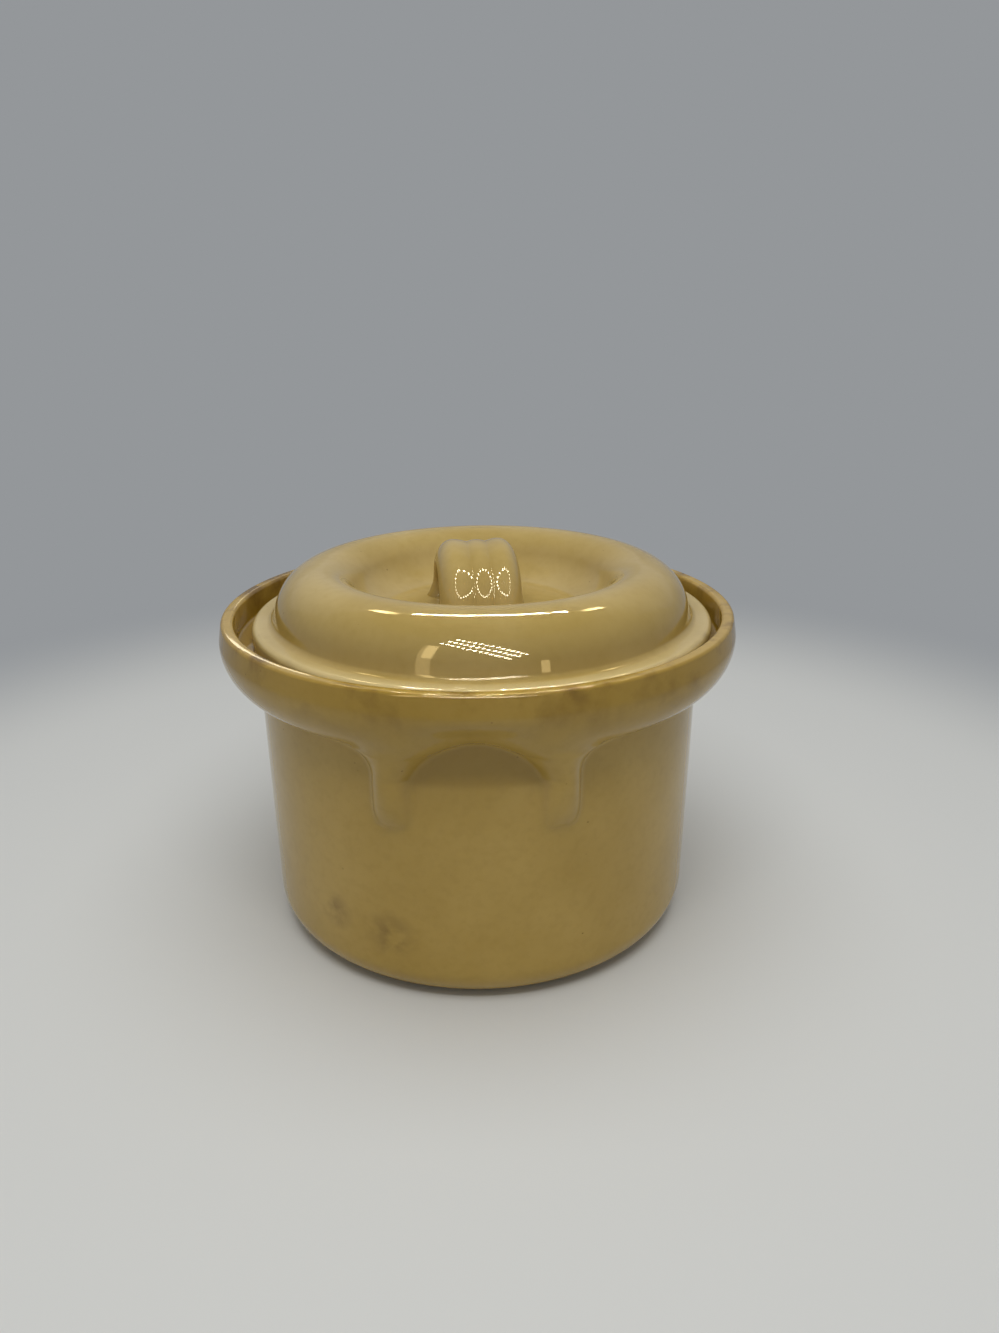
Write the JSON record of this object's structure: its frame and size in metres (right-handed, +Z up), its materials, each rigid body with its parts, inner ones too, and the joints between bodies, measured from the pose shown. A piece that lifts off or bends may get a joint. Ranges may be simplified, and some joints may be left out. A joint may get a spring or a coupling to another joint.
{
  "type": "lidded salt crock",
  "caption": "Straight-sided glazed stoneware salt crock with a rolled collar, lug grips under it and a loose domed lid with a ridged strap handle in its well.",
  "frame": {"origin": "middle of the foot ring, on the surface that the crock stands on", "axes": "+Z up along the pot's axis, -Y towards the front lug grip, +X to the right as seen from the front"},
  "size_m": [0.136, 0.136, 0.1022],
  "materials": {
    "pot_glaze": "glossy yellow-buff glaze over stoneware, bare clay on the foot ring",
    "lid_glaze": "glossy yellow-buff glaze over stoneware, bare clay on the flange's seat"
  },
  "bodies": {
    "pot": {"pot_body": "pot_glaze", "front_lug_grip": "pot_glaze", "rear_lug_grip": "pot_glaze"},
    "lid": {"lid_shell": "lid_glaze", "lid_strap_handle": "lid_glaze"}
  },
  "joints": [
    {"name": "lid_lift", "type": "slide", "parent": "pot", "child": "lid", "axis": [0, 0, 1], "range_m": [0, 0.08]}
  ]
}
